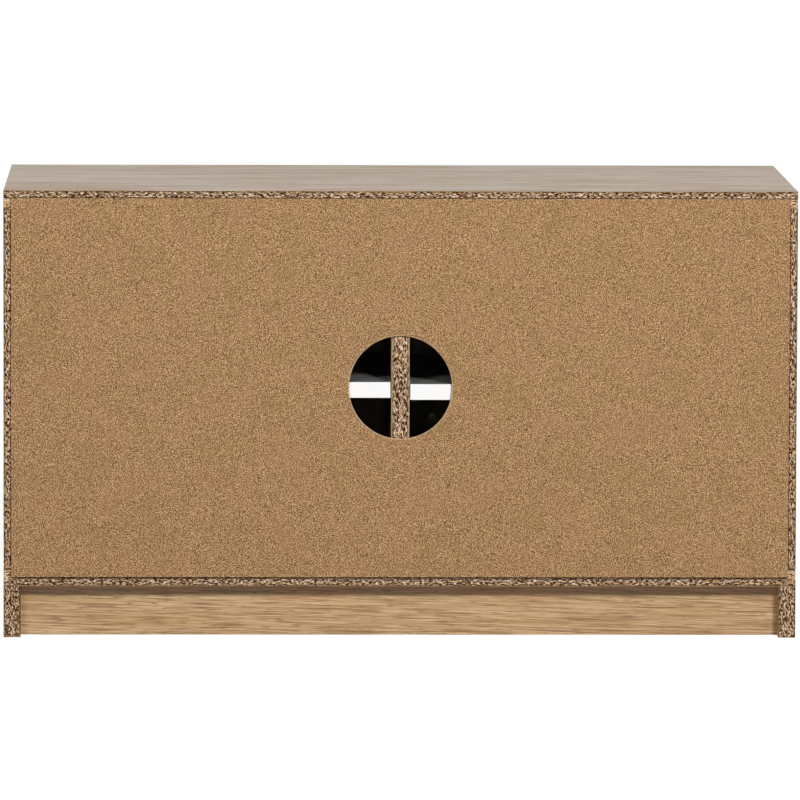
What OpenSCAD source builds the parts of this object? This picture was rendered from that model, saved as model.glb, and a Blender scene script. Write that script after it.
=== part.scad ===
// Low media cabinet: a boarded carcass with a divider, two shelves, two hinged doors,
// a hardboard back with a round cable outlet, and a plinth with a set-back rear board.
// Millimetres. The origin is on the floor under the middle of the whole object.
// +X is to the right and -Y to the front, so left and right are those of someone
// who stands in front of the doors.

/* [Cabinet] */
// Width over the two sides
cabinet_w = 800; // [640:1:1200]
// Height from the floor to the top surface
cabinet_h = 452; // [400:1:700]
// Depth from the rear edges to the faces of the doors
cabinet_d = 400; // [340:1:520]

/* [Boards] */
// Thickness of the top, the bottom, the sides and the divider
board_t = 18; // [16:0.5:22]
// Thickness of the shelves
shelf_t = 16; // [15:0.5:22]
// Thickness of the plinth boards
plinth_t = 17; // [15:0.5:22]
// Thickness of the doors
door_t = 18; // [17:0.5:22]
// Thickness of the bands glued to the board edges
band_t = 0.8; // [0.4:0.1:2]

/* [Back] */
// Thickness of the hardboard back
back_t = 3; // [2.5:0.1:5]
// Width of the raw lip that each board keeps beside the back
lip_w = 7; // [5:0.5:9]
// Distance of the back's rear face from the rear edges
back_inset = 1; // [0.5:0.1:3]
// Gap between the back and the lips at the top and at the sides
back_clear = 0.7; // [0.2:0.1:1.5]
// Gap between the back and the lip of the bottom
back_clear_low = 2.2; // [0.2:0.1:3]
// Diameter of the cable outlet
outlet_d = 104; // [60:1:120]
// Height of the cable outlet above the middle of the cabinet's body
outlet_rise = 1.5; // [-20:0.5:20]

/* [Plinth] */
// Height of the plinth
plinth_h = 52; // [46:1:100]
// Distance of the rear plinth board from the rear edges
plinth_rear_inset = 24; // [5:1:60]
// Distance of the front plinth board from the front edge of the bottom
plinth_front_inset = 30; // [5:1:60]
// Length of each side of a corner block, seen from above
block_w = 28; // [24:1:36]
// Height of a corner block
block_h = 32; // [30:1:40]

/* [Shelves] */
// Height of the left shelf's underside above the bottom board
shelf_left_rise = 170.5; // [130:0.5:190]
// Height of the right shelf's underside above the bottom board
shelf_right_rise = 172.5; // [130:0.5:190]
// Distance of a shelf from the front edges of the carcass
shelf_front_inset = 25; // [15:1:40]
// Gap between a shelf and the back
shelf_back_gap = 2.5; // [2:0.5:20]
// Gap at each end of a shelf
shelf_end_gap = 1; // [0.5:0.1:1.5]
// Diameter of the shelf pins
pin_d = 5; // [4:0.1:6]
// Distance of the shelf pins from the ends of the shelf's depth
pin_inset = 44; // [30:1:70]
// Length of a shelf pin in its hole
pin_grip = 7.5; // [5:0.5:7.5]
// Length of a shelf pin's tab under the shelf
pin_tab = 7; // [5:0.5:9]
// Pitch of the rows of shelf pin holes
row_pitch = 32; // [25:1:40]

/* [Doors] */
// Gap between a closed door and the front edges of the carcass
door_gap = 3.5; // [3.5:0.1:5]
// Distance of a door's hinged edge from the outer face of the side
door_reveal = 1.5; // [1:0.1:3]
// Gap between the two doors
door_split = 3; // [2:0.5:6]
// Gap above and below a door
door_clear = 2.5; // [1.5:0.5:5]
// Diameter of a door bumper
bumper_d = 7; // [5:0.5:7.5]
// Distance of a door bumper's centre from the free edge
bumper_in = 4; // [4:0.1:4.5]
// Clearance of what stops a closed door
stop_clear = 0.3; // [0.2:0.1:0.5]

/* [Hinges] */
// Distance of each hinge from the end of its door
hinge_inset = 62; // [50:1:75]
// Diameter of a hinge cup
cup_d = 35; // [34:0.5:36]
// Distance of the cup's rim from the hinged edge of the door
cup_edge = 3; // [3:0.1:4]
// Depth of a hinge cup in the door
cup_depth = 13.5; // [13.2:0.1:14]
// Wall thickness of a hinge cup
cup_wall = 0.8; // [0.6:0.1:1]
// Thickness of the flange of a hinge cup
flange_t = 1.2; // [0.8:0.1:1.5]
// Distance between the two screws of a hinge cup
cup_screw_gap = 48; // [45:1:52]
// Distance of the hinge pin from the hinged edge of the door
pivot_edge = 8; // [7.8:0.1:8]
// Distance of the hinge pin from the inner face of the door
pivot_depth = 9; // [9:0.1:9.4]
// Diameter of a hinge pin
hinge_pin_d = 3; // [2.5:0.1:3.4]
// Thickness of a hinge arm
arm_t = 2.5; // [2:0.1:2.8]
// Width of a hinge arm inside the cup
arm_w = 8; // [6:0.5:8]
// Thickness of the plate that carries a hinge arm
plate_t = 6.75; // [5:0.25:9]
// Distance of the plate's screws from the front edge of the side
plate_row = 37; // [34:1:42]
// Distance between the two screws of a plate
plate_screw_gap = 32; // [28:1:40]

/* [Handles] */
// Distance between the two posts of a handle
handle_gap = 128; // [64:32:160]
// Reach of a handle in front of the door
handle_reach = 28; // [24:1:40]
// Diameter of the bar of a handle
handle_bar_d = 10; // [8:0.5:14]
// Length of the bar past each post
handle_end = 16; // [8:1:30]
// Diameter of the posts of a handle
handle_post_d = 8; // [7:0.5:10]
// Distance of a handle from the free edge of its door
handle_in = 40; // [30:1:60]

/* [Catches] */
// Width of a magnetic catch
catch_w = 46; // [40:1:60]
// Depth of a magnetic catch
catch_d = 20; // [16:1:30]
// Height of a magnetic catch
catch_h = 12; // [10:0.5:16]
// Distance of a catch's middle from the middle of the cabinet
catch_x = 90; // [75:1:130]
// Thickness of the steel strike on the door
strike_t = 1.2; // [1:0.1:1.5]
// Height of the steel strike on the door
strike_h = 12; // [10:0.5:14]

/* [Joinery] */
// Diameter of the carcass dowels
dowel_d = 8; // [6:0.5:8]
// Diameter of the plinth dowels
plinth_dowel_d = 6; // [5:0.5:8]
// Depth of a dowel or cam bolt in the face of a board
face_grip = 11; // [9:0.5:12]
// Length of a carcass dowel in the edge of a board
edge_grip = 23; // [18:1:24]
// Depth of a plinth dowel in the bottom
plinth_face_grip = 9; // [7:0.5:10]
// Length of a plinth dowel in the edge of a plinth board
plinth_grip = 18; // [15:1:24]
// Diameter of a cam lock
cam_d = 15; // [14:0.5:16]
// Distance of a cam lock from the end of its board
cam_reach = 34; // [32:1:38]
// Diameter of the shank of a cam bolt
cam_bolt_d = 5; // [4:0.5:6]
// Distance of the outer cam bolts from the ends of a joint
bolt_inset = 60; // [55:1:66]
// Distance of the dowels from the ends of a joint
dowel_inset = 100; // [94:1:106]
// Distance of the plinth side dowels from the ends of the bottom
plinth_dowel_inset = 140; // [138:1:150]

/* [Fits] */
// Radial clearance between a hinge pin and the eye of its arm
running_clear = 0.05; // [0.02:0.01:0.09]
// Radial clearance of dowels, pins, cams and screws in their holes
hole_clear = 0.03; // [0.01:0.01:0.1]
// Spare depth at the bottom of a blind hole
hole_spare = 0.5; // [0.2:0.1:1]

/* [Screws] */
// Diameter of the wood screws
screw_d = 3.5; // [3:0.1:4]
// Height of a pan head
head_h = 1.8; // [1.5:0.1:2.2]
// Length of the wood screws of hinges and catches under the head
screw_len = 13; // [11:0.5:14]
// Length of the corner block screws inside a board
block_screw_grip = 11; // [8:0.5:12]

/* [Hidden] */
$fn = 48;
// Overshoot of a cut past the face that it opens
over = 1;
// Width of the cross in a screw head
cross_w = 0.8;

// Depth stations, from the rear edges to the tips of the handles
rear_y = (cabinet_d + handle_reach) / 2;
front_y = rear_y - cabinet_d;
door_inner_y = front_y + door_t;
carcass_y = door_inner_y + door_gap;
rebate_d = back_t + back_inset;
back_y = rear_y - rebate_d;
plinth_front_y = front_y + plinth_front_inset;
plinth_rear_y = rear_y - plinth_rear_inset;

// Height stations
bottom_z = plinth_h + board_t;
top_z = cabinet_h - board_t;
side_h = top_z - bottom_z;
outlet_z = (plinth_h + cabinet_h) / 2 + outlet_rise;
door_low_z = bottom_z + door_clear;
door_h = side_h - 2 * door_clear;
door_mid_z = door_low_z + door_h / 2;
hinge_zs = [door_low_z + hinge_inset, door_low_z + door_h - hinge_inset];

// Width stations
half_w = cabinet_w / 2;
side_x = half_w - board_t;
bay_w = side_x - board_t / 2;
door_w = half_w - door_reveal - door_split / 2;

// Shelves and their pins
shelf_w = bay_w - 2 * shelf_end_gap;
shelf_front_y = carcass_y + shelf_front_inset;
shelf_d = back_y - shelf_back_gap - shelf_front_y;
shelf_x = board_t / 2 + shelf_end_gap;
pin_ys = [shelf_front_y + pin_inset, shelf_front_y + shelf_d - pin_inset];
pin_tab_t = 3;
pin_tab_d = 10;
row_steps = [-1, 0, 1];

// Joints of the carcass: the places of bolts and dowels along each joint
bolt_ys = [carcass_y + bolt_inset, rear_y - bolt_inset];
dowel_ys = [carcass_y + dowel_inset, rear_y - dowel_inset];
joint_xs = [-half_w + board_t / 2, 0, half_w - board_t / 2];
cam_hole_d = cam_d + 2 * hole_clear;
// Rim of a cam bolt's head round its shank, its room in the channel, and the cam's floor
cam_bolt_rim = 0.9;
cam_room = 0.3;
cam_floor = 0.3;
cam_bolt_head_d = cam_bolt_d + 2 * cam_bolt_rim;
cam_channel_d = cam_bolt_head_d + 2 * cam_room;
cam_h = board_t / 2 + cam_channel_d / 2 + cam_floor;
cam_head_l = 4;
bolt_thread_d = 6;
cam_slot = [8, 1.4, 2];

// Plinth: dowels of the side boards and of the long boards
plinth_side_ys = [front_y + plinth_dowel_inset, rear_y - plinth_dowel_inset];
plinth_long_w = cabinet_w - 2 * plinth_t;
plinth_long_xs = [-plinth_long_w / 3, plinth_long_w / 3];
block_z = plinth_h - block_h;
// Places of the screws in a block, as shares of its width or height
block_near = 0.25;
block_far = 0.68;
block_corners = [for (sx = [-1, 1]) for (sy = [-1, 1]) [sx, sy]];

// Hinge frame: s runs inwards from the outer face of the side, f forwards from its front edge
pivot_s = door_reveal + pivot_edge;
pivot_f = door_gap + pivot_depth;
cup_s = door_reveal + cup_edge + cup_d / 2;
cup_clear = 0.2;
cup_body_d = cup_d - cup_clear;
cup_hole_depth = cup_depth + cup_clear;
cup_floor = cup_depth - cup_wall;
arm_s = board_t + plate_t + arm_t / 2;
arm_bend = 4;
arm_eye_d = 6;
arm_wide = 14;
plate_l = 42;
plate_floor = 0.5;
plate_nose = 16;
plate_front = plate_row - plate_nose;
wing_t = 2.5;
wing_l = 13;
wing_end = 6;
ear_side_gap = 0.5;
ear_gap = arm_w / 2 + ear_side_gap;
ear_t = 2.5;
ear_w = 6;
pin_end = 0.4;
hinge_pin_l = 2 * (ear_gap + ear_t + pin_end);
cup_screw_out = 5.5;
cup_screw_s = cup_s + cup_screw_out;
flange_bar = 13;
arm_screw_d = 4;
arm_screw_in = 6;
arm_screw_f = -plate_front - arm_screw_in;
head_d = 2 * screw_d + 0.6;
head_clear = 0.5;

// Handles, bumpers and catches
handle_x = -door_split / 2 - handle_in;
handle_axis_y = front_y - handle_reach + handle_bar_d / 2;
handle_zs = [door_mid_z - handle_gap / 2, door_mid_z + handle_gap / 2];
handle_screw_d = 4;
handle_thread = 10;
handle_head_d = 8.5;
handle_head_h = 2.2;
bumper_x = -door_split / 2 - bumper_in;
bumper_inset = 20;
catch_front_y = door_inner_y + strike_t + stop_clear;
catch_screw_in = 7;
catch_screw_xs = [for (end = [-1, 1]) -catch_x + end * (catch_w / 2 - catch_screw_in)];
catch_screw_y = catch_front_y + catch_d - catch_screw_in;
// Depth of housing that a catch screw clamps, and its length in the top
catch_seat = 6;
catch_screw_grip = 7;
catch_screw_len = catch_seat + catch_screw_grip;
catch_end = 9;
catch_wall = 2.5;
magnet_d = 4;
magnet = [catch_w - 2 * catch_end, magnet_d, catch_h - 2 * catch_wall];
strike_margin = 4;
strike_w = catch_w - 2 * strike_margin;
strike_top_gap = 1.5;
strike_z = door_low_z + door_h - strike_top_gap - strike_h;
strike_screw_in = 6;
strike_screw_xs = [for (end = [-1, 1]) -catch_x + end * (strike_w / 2 - strike_screw_in)];
strike_head_d = 5.6;
strike_screw_len = 11;

// Colours of the real finishes
oak = "#b4946e";
hardboard = "#a37f5b";
white = "#f2f1ee";
grey = "#8c8c8a";
beech = "#d9b98c";
steel = "#b9bcc0";
zinc = "#9ea1a6";
plastic = "#e6e6e2";
rubber = "#d8d8d4";

// ---- helpers ----

// A box from its lowest corner
module slab(x, y, z, w, d, h) {
    translate([x, y, z]) cube([w, d, h]);
}

// A round bar along +Z that starts at [x, y, z]
module peg_z(x, y, z, d, h) {
    translate([x, y, z]) cylinder(d = d, h = h);
}

// A round bar along +X that starts at [x, y, z]
module peg_x(x, y, z, d, h) {
    translate([x, y, z]) rotate([0, 90, 0]) cylinder(d = d, h = h);
}

// A round bar along +Y that starts at [x, y, z]
module peg_y(x, y, z, d, h) {
    translate([x, y, z]) rotate([-90, 0, 0]) cylinder(d = d, h = h);
}

// A pan-head screw: the head's seat is at the origin and the shank goes down -Z
module screw(d, len, head, height) {
    difference() {
        union() {
            cylinder(d = head, h = height);
            translate([0, 0, -len]) cylinder(d = d, h = len + height / 2);
        }
        for (turn = [0, 90])
            rotate([0, 0, turn]) slab(-head / 4, -cross_w / 2, height / 2, head / 2, cross_w, height);
    }
}

// Mirrors a left-hand piece to the right of the cabinet
module right_hand() {
    mirror([1, 0, 0]) children();
}

// Puts children, drawn in [s, f, height], at each hinge of the left side
module at_left_hinges() {
    for (z = hinge_zs)
        translate([-half_w, carcass_y, z]) mirror([0, 1, 0]) children();
}

// A flat bar with round ends between two points
module bar_2d(from, to, t) {
    run = to - from;
    translate(from) circle(d = t);
    translate(to) circle(d = t);
    translate(from) rotate(atan2(run.y, run.x)) translate([0, -t / 2]) square([norm(run), t]);
}

// ---- carcass ----

// The rebate for the back, right along the inner rear edge of the top
module top_rebate() {
    slab(-half_w - over, rear_y - rebate_d, top_z - over,
        cabinet_w + 2 * over, rebate_d + over, board_t - lip_w + over);
}

// The rebate for the back, right along the inner rear edge of the bottom
module bottom_rebate() {
    slab(-half_w - over, rear_y - rebate_d, plinth_h + lip_w,
        cabinet_w + 2 * over, rebate_d + over, board_t - lip_w + over);
}

// Blind holes in the face of the top or the bottom, at the joints of sides and divider.
// They start at height z and go up, or down where dir is -1.
module face_holes(z, dir) {
    for (x = joint_xs) {
        for (y = bolt_ys)
            translate([x, y, z]) scale([1, 1, dir]) translate([0, 0, -over])
                cylinder(d = bolt_thread_d + 2 * hole_clear, h = face_grip + hole_spare + over);
        for (y = dowel_ys)
            translate([x, y, z]) scale([1, 1, dir]) translate([0, 0, -over])
                cylinder(d = dowel_d + 2 * hole_clear, h = face_grip + hole_spare + over);
    }
}

module top_panel() {
    color(oak) difference() {
        slab(-half_w + band_t, front_y + band_t, top_z, cabinet_w - 2 * band_t, cabinet_d - band_t, board_t);
        top_rebate();
        face_holes(top_z, 1);
        for (x = [-1, 1]) for (cx = catch_screw_xs)
            peg_z(x * cx, catch_screw_y, top_z - over,
                screw_d + 2 * hole_clear, catch_screw_grip + hole_spare + over);
    }
}

module bottom_panel() {
    color(oak) difference() {
        slab(-half_w + band_t, front_y + band_t, plinth_h,
            cabinet_w - 2 * band_t, cabinet_d - band_t, board_t);
        bottom_rebate();
        face_holes(bottom_z, -1);
        for (p = plinth_dowel_places())
            peg_z(p.x, p.y, plinth_h - over,
                plinth_dowel_d + 2 * hole_clear, plinth_face_grip + hole_spare + over);
        for (c = block_corners)
            peg_z(block_screw_up(c).x, block_screw_up(c).y, plinth_h - over,
                screw_d + 2 * hole_clear, block_screw_grip + hole_spare + over);
    }
}

// The three bands of a board that runs over the full width: the front and both ends
module wide_board_bands(z) {
    slab(-half_w, front_y, z, cabinet_w, band_t, board_t);
    for (x = [-half_w, half_w - band_t])
        slab(x, front_y + band_t, z, band_t, cabinet_d - band_t, board_t);
}

module top_edge_bands() {
    color(oak) difference() {
        wide_board_bands(top_z);
        top_rebate();
    }
}

module bottom_edge_bands() {
    color(oak) difference() {
        wide_board_bands(plinth_h);
        bottom_rebate();
    }
}

module carcass_front_bands() {
    color(oak) for (x = [-half_w, -board_t / 2, half_w - board_t])
        slab(x, carcass_y, bottom_z, board_t, band_t, side_h);
}

// Holes in both ends of an upright board whose middle is at x: cam bolts and dowels
module upright_end_holes(x) {
    for (end = [[bottom_z, 1], [top_z, -1]]) {
        for (y = bolt_ys)
            translate([x, y, end[0]]) scale([1, 1, end[1]]) translate([0, 0, -over])
                cylinder(d = cam_channel_d, h = cam_reach + over);
        for (y = dowel_ys)
            translate([x, y, end[0]]) scale([1, 1, end[1]]) translate([0, 0, -over])
                cylinder(d = dowel_d + 2 * hole_clear, h = edge_grip + hole_spare + over);
    }
}

// Bores for the cam locks, in the face at x, into the board along +X or -X
module cam_bores(x, dir) {
    for (z = [bottom_z + cam_reach, top_z - cam_reach]) for (y = bolt_ys)
        peg_x(dir > 0 ? x - over : x - cam_h - hole_clear, y, z, cam_hole_d, cam_h + hole_clear + over);
}

// A row of shelf pin holes, one above and one below the shelf's own, for one height
function row_heights(rise) = [for (k = row_steps) bottom_z + rise - pin_d / 2 + k * row_pitch];

module pin_row(x, dir, rise) {
    for (z = row_heights(rise)) for (y = pin_ys)
        peg_x(dir > 0 ? x - over : x - pin_grip - hole_spare, y, z,
            pin_d + 2 * hole_clear, pin_grip + hole_spare + over);
}

// The left-hand side board, with the pin rows of a shelf at the given height
module side_board(rise) {
    difference() {
        slab(-half_w, carcass_y + band_t, bottom_z, board_t, rear_y - carcass_y - band_t, side_h);
        slab(-half_w + lip_w, back_y, bottom_z - over, board_t, rebate_d + over, side_h + 2 * over);
        upright_end_holes(joint_xs[0]);
        cam_bores(-side_x, -1);
        pin_row(-side_x, -1, rise);
        at_left_hinges() for (w = [-1, 1])
            peg_x(board_t - screw_len + wing_t - hole_spare, -plate_row, w * plate_screw_gap / 2,
                screw_d + 2 * hole_clear, screw_len - wing_t + hole_spare + over);
    }
}

module side_left() {
    color(oak) side_board(shelf_left_rise);
}

module side_right() {
    color(oak) right_hand() side_board(shelf_right_rise);
}

module divider() {
    color(oak) difference() {
        slab(-board_t / 2, carcass_y + band_t, bottom_z, board_t, back_y - carcass_y - band_t, side_h);
        upright_end_holes(0);
        cam_bores(-board_t / 2, 1);
        pin_row(-board_t / 2, 1, shelf_left_rise);
        pin_row(board_t / 2, -1, shelf_right_rise);
    }
}

module back_panel() {
    low = plinth_h + lip_w + back_clear_low;
    high = cabinet_h - lip_w - back_clear;
    half = half_w - lip_w - back_clear;
    color(hardboard) difference() {
        slab(-half, back_y, low, 2 * half, back_t, high - low);
        peg_y(0, back_y - over, outlet_z, outlet_d, back_t + 2 * over);
    }
}

module carcass_dowels() {
    color(beech) for (x = joint_xs) for (y = dowel_ys) {
        peg_z(x, y, bottom_z - face_grip, dowel_d, face_grip + edge_grip);
        peg_z(x, y, top_z - edge_grip, dowel_d, face_grip + edge_grip);
    }
}

// A cam bolt: the thread goes up into a face, and the head hangs at the cam's centre
module cam_bolt() {
    cylinder(d = bolt_thread_d, h = face_grip);
    translate([0, 0, -cam_reach]) cylinder(d = cam_bolt_d, h = cam_reach);
    translate([0, 0, -cam_reach - cam_head_l / 4]) cylinder(d = cam_bolt_head_d, h = cam_head_l);
}

module cam_bolts() {
    color(steel) for (x = joint_xs) for (y = bolt_ys) {
        translate([x, y, top_z]) cam_bolt();
        translate([x, y, bottom_z]) mirror([0, 0, 1]) cam_bolt();
    }
}

// A cam lock for the board edge above it: its face is at the origin, its body goes down -X
module cam_lock() {
    difference() {
        peg_x(-cam_h, 0, 0, cam_d, cam_h);
        peg_z(-board_t / 2, 0, -cam_head_l / 2, cam_channel_d, cam_d);
        for (turn = [0, 90])
            rotate([turn, 0, 0])
                slab(-cam_slot.z, -cam_slot.x / 2, -cam_slot.y / 2,
                    cam_slot.z + over, cam_slot.x, cam_slot.y);
    }
}

// The four cam locks of one upright board, in the face at x
module upright_cams(x) {
    for (y = bolt_ys) {
        translate([x, y, top_z - cam_reach]) cam_lock();
        translate([x, y, bottom_z + cam_reach]) mirror([0, 0, 1]) cam_lock();
    }
}

module cam_locks() {
    color(zinc) {
        upright_cams(-side_x);
        right_hand() upright_cams(-side_x);
        right_hand() upright_cams(board_t / 2);
    }
}

// ---- plinth ----

function plinth_dowel_places() = concat(
    [for (sx = [-1, 1]) for (y = plinth_side_ys) [sx * (half_w - plinth_t / 2), y]],
    [for (x = plinth_long_xs)
        for (y = [plinth_front_y + plinth_t / 2, plinth_rear_y - plinth_t / 2]) [x, y]]);

// Inner corner of the plinth that a block sits in, and the way to its middle
function block_corner(c) = [c.x * (half_w - plinth_t),
    c.y > 0 ? plinth_rear_y - plinth_t : plinth_front_y + plinth_t];

// The screw that goes up through a block into the bottom
function block_screw_up(c) = block_corner(c) - block_w * block_far * c;

// Height of the screws that go sideways through a block, and their distance from the corner
block_side_z = [block_z + block_h * block_near, block_z + block_h * block_far];
block_side_in = block_w * block_near;

// Holes for the two sideways screws of each block, or the screws themselves
module block_side_shanks(d, spare) {
    for (c = block_corners) {
        corner = block_corner(c);
        len = block_w + block_screw_grip + spare;
        translate([corner.x - c.x * block_w, corner.y - c.y * block_side_in, block_side_z[0]])
            rotate([0, c.x * 90, 0]) cylinder(d = d, h = len);
        translate([corner.x - c.x * block_side_in, corner.y - c.y * block_w, block_side_z[1]])
            rotate([-c.y * 90, 0, 0]) cylinder(d = d, h = len);
    }
}

// A side board of the plinth, on the left or on the right
module plinth_side(sx) {
    difference() {
        slab(sx > 0 ? half_w - plinth_t : -half_w, front_y, 0, plinth_t, cabinet_d, plinth_h);
        for (p = plinth_dowel_places())
            peg_z(p.x, p.y, plinth_h - plinth_grip - hole_spare,
                plinth_dowel_d + 2 * hole_clear, plinth_grip + hole_spare + over);
        block_side_shanks(screw_d + 2 * hole_clear, hole_spare);
    }
}

// A long board of the plinth, with its front face at y
module plinth_long(y) {
    difference() {
        slab(-plinth_long_w / 2, y, 0, plinth_long_w, plinth_t, plinth_h);
        for (p = plinth_dowel_places())
            peg_z(p.x, p.y, plinth_h - plinth_grip - hole_spare,
                plinth_dowel_d + 2 * hole_clear, plinth_grip + hole_spare + over);
        block_side_shanks(screw_d + 2 * hole_clear, hole_spare);
    }
}

module plinth_left() {
    color(oak) plinth_side(-1);
}

module plinth_right() {
    color(oak) plinth_side(1);
}

module plinth_front() {
    color(oak) plinth_long(plinth_front_y);
}

module plinth_rear() {
    color(oak) plinth_long(plinth_rear_y - plinth_t);
}

module plinth_blocks() {
    color(beech) difference() {
        for (c = block_corners) {
            corner = block_corner(c);
            slab(min(corner.x, corner.x - c.x * block_w), min(corner.y, corner.y - c.y * block_w),
                block_z, block_w, block_w, block_h);
        }
        block_side_shanks(screw_d + 2 * hole_clear, hole_spare);
        for (c = block_corners)
            peg_z(block_screw_up(c).x, block_screw_up(c).y, block_z - over,
                screw_d + 2 * hole_clear, block_h + 2 * over);
    }
}

module plinth_block_screws() {
    color(steel) for (c = block_corners) {
        corner = block_corner(c);
        translate([block_screw_up(c).x, block_screw_up(c).y, block_z])
            mirror([0, 0, 1]) screw(screw_d, block_h + block_screw_grip, head_d, head_h);
        translate([corner.x - c.x * block_w, corner.y - c.y * block_side_in, block_side_z[0]])
            rotate([0, -c.x * 90, 0]) screw(screw_d, block_w + block_screw_grip, head_d, head_h);
        translate([corner.x - c.x * block_side_in, corner.y - c.y * block_w, block_side_z[1]])
            rotate([c.y * 90, 0, 0]) screw(screw_d, block_w + block_screw_grip, head_d, head_h);
    }
}

module plinth_dowels() {
    color(beech) for (p = plinth_dowel_places())
        peg_z(p.x, p.y, plinth_h - plinth_grip, plinth_dowel_d, plinth_grip + plinth_face_grip);
}

// ---- shelves ----

// The board of a shelf on the left, with its underside at height z
module shelf_board(z) {
    slab(-shelf_x - shelf_w + band_t, shelf_front_y + band_t, z,
        shelf_w - 2 * band_t, shelf_d - 2 * band_t, shelf_t);
}

// The four bands of a shelf on the left, with its underside at height z
module shelf_bands(z) {
    for (y = [shelf_front_y, shelf_front_y + shelf_d - band_t])
        slab(-shelf_x - shelf_w, y, z, shelf_w, band_t, shelf_t);
    for (x = [-shelf_x - shelf_w, -shelf_x - band_t])
        slab(x, shelf_front_y + band_t, z, band_t, shelf_d - 2 * band_t, shelf_t);
}

module shelf_left() {
    color(grey) shelf_board(bottom_z + shelf_left_rise);
}

module shelf_right() {
    color(grey) right_hand() shelf_board(bottom_z + shelf_right_rise);
}

module shelf_left_bands() {
    color(white) shelf_bands(bottom_z + shelf_left_rise);
}

module shelf_right_bands() {
    color(white) right_hand() shelf_bands(bottom_z + shelf_right_rise);
}

// A shelf pin in a wall that it leaves along +X: the tab's top carries the shelf
module shelf_pin() {
    peg_x(-pin_grip, 0, -pin_d / 2, pin_d, pin_grip + pin_tab);
    slab(0, -pin_tab_d / 2, -pin_tab_t, pin_tab, pin_tab_d, pin_tab_t);
}

// The four pins of a shelf on the left, with its underside at height z
module shelf_pin_set(z) {
    for (y = pin_ys) {
        translate([-side_x, y, z]) shelf_pin();
        translate([-board_t / 2, y, z]) mirror([1, 0, 0]) shelf_pin();
    }
}

module shelf_pins() {
    color(steel) {
        shelf_pin_set(bottom_z + shelf_left_rise);
        right_hand() shelf_pin_set(bottom_z + shelf_right_rise);
    }
}

// ---- hinges, the half that stays on the carcass ----

module hinge_plate() {
    difference() {
        union() {
            slab(board_t, -plate_front - plate_l, -arm_wide / 2, plate_t, plate_l, arm_wide);
            slab(board_t, -plate_row - wing_l / 2, -plate_screw_gap / 2 - wing_end,
                wing_t, wing_l, plate_screw_gap + 2 * wing_end);
        }
        for (w = [-1, 1])
            peg_x(board_t - over, -plate_row, w * plate_screw_gap / 2,
                screw_d + 2 * hole_clear, wing_t + 2 * over);
        peg_x(board_t + plate_floor, arm_screw_f, 0, arm_screw_d + 2 * hole_clear, plate_t);
    }
}

module hinge_plates() {
    color(zinc) {
        at_left_hinges() hinge_plate();
        right_hand() at_left_hinges() hinge_plate();
    }
}

module plate_screw_pair() {
    for (w = [-1, 1])
        translate([board_t + wing_t, -plate_row, w * plate_screw_gap / 2]) rotate([0, 90, 0])
            screw(screw_d, screw_len, head_d, head_h);
}

module hinge_plate_screws() {
    color(steel) {
        at_left_hinges() plate_screw_pair();
        right_hand() at_left_hinges() plate_screw_pair();
    }
}

// The cranked arm: an eye round the pin, a neck that leaves the cup, and a foot on the plate
module hinge_arm() {
    pivot = [pivot_s, pivot_f];
    difference() {
        union() {
            translate([0, 0, -arm_w / 2]) linear_extrude(height = arm_w) union() {
                translate(pivot) circle(d = arm_eye_d);
                bar_2d(pivot, [arm_s - arm_bend, pivot_f], arm_t);
                bar_2d([arm_s - arm_bend, pivot_f], [arm_s, pivot_f - arm_bend], arm_t);
                bar_2d([arm_s, pivot_f - arm_bend], [arm_s, -plate_front], arm_t);
            }
            slab(arm_s - arm_t / 2, -plate_front - plate_l, -arm_wide / 2, arm_t, plate_l, arm_wide);
        }
        translate([pivot_s, pivot_f, -arm_w]) cylinder(d = hinge_pin_d + 2 * running_clear, h = 2 * arm_w);
        peg_x(arm_s - arm_t, arm_screw_f, 0, arm_screw_d + 2 * hole_clear, 2 * arm_t);
    }
}

module hinge_arms() {
    color(steel) {
        at_left_hinges() hinge_arm();
        right_hand() at_left_hinges() hinge_arm();
    }
}

module arm_screw() {
    translate([arm_s + arm_t / 2, arm_screw_f, 0]) rotate([0, 90, 0])
        screw(arm_screw_d, arm_t + plate_t - 2 * plate_floor, head_d, head_h);
}

module hinge_arm_screws() {
    color(steel) {
        at_left_hinges() arm_screw();
        right_hand() at_left_hinges() arm_screw();
    }
}

// ---- magnetic catches under the top ----

module catch_housing() {
    difference() {
        slab(-catch_x - catch_w / 2, catch_front_y, top_z - catch_h, catch_w, catch_d, catch_h);
        slab(-catch_x - magnet.x / 2, catch_front_y - over, top_z - catch_h / 2 - magnet.z / 2,
            magnet.x, magnet.y + over, magnet.z);
        for (x = catch_screw_xs) {
            peg_z(x, catch_screw_y, top_z - catch_h - over, screw_d + 2 * hole_clear, catch_h + 2 * over);
            peg_z(x, catch_screw_y, top_z - catch_h - over,
                head_d + 2 * head_clear, catch_h - catch_seat + over);
        }
    }
}

module catch_housings() {
    color(plastic) {
        catch_housing();
        right_hand() catch_housing();
    }
}

module catch_magnet() {
    slab(-catch_x - magnet.x / 2, catch_front_y, top_z - catch_h / 2 - magnet.z / 2,
        magnet.x, magnet.y, magnet.z);
}

module catch_magnets() {
    color(zinc) {
        catch_magnet();
        right_hand() catch_magnet();
    }
}

module catch_screw_pair() {
    for (x = catch_screw_xs)
        translate([x, catch_screw_y, top_z - catch_seat]) mirror([0, 0, 1])
            screw(screw_d, catch_screw_len, head_d, head_h);
}

module catch_screws() {
    color(steel) {
        catch_screw_pair();
        right_hand() catch_screw_pair();
    }
}

// ---- a door and what rides on it, all drawn on the left ----

// Lowest corner of the left door
door_x = -half_w + door_reveal;

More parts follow.
